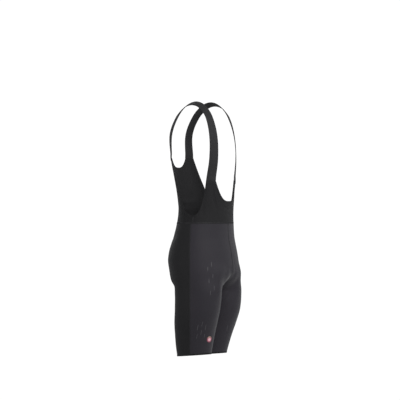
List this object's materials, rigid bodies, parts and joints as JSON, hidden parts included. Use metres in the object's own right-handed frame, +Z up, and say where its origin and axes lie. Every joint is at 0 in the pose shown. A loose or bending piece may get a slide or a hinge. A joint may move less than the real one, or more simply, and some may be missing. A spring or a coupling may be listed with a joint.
{
  "type": "cycling bib shorts",
  "caption": "Close-fitting cycling bib shorts in worn form: hollow torso and legs, scooped front, taller back and elastic shoulder straps.",
  "frame": {"origin": "midway between the two straps at the height where the wearer's shoulders carry them", "axes": "+Z up as worn, -Y the front, +X the wearer's left"},
  "size_m": [0.341, 0.2334, 0.9072],
  "materials": {
    "leg_front": "black stretch knit with a soft satin sheen",
    "leg_back": "black stretch knit, a shade darker and flatter",
    "hem": "black elastic edge",
    "bib": "light black open knit",
    "strap": "ribbed black elastic webbing",
    "badge": "satin silicone print"
  },
  "bodies": {
    "root": {"leg_front_right": "leg_front", "leg_front_left": "leg_front", "leg_back_right": "leg_back", "leg_back_left": "leg_back", "hem_right": "hem", "hem_left": "hem", "bib_front": "bib", "bib_back": "bib", "strap_right": "strap", "strap_left": "strap", "badge": "badge"}
  },
  "joints": []
}
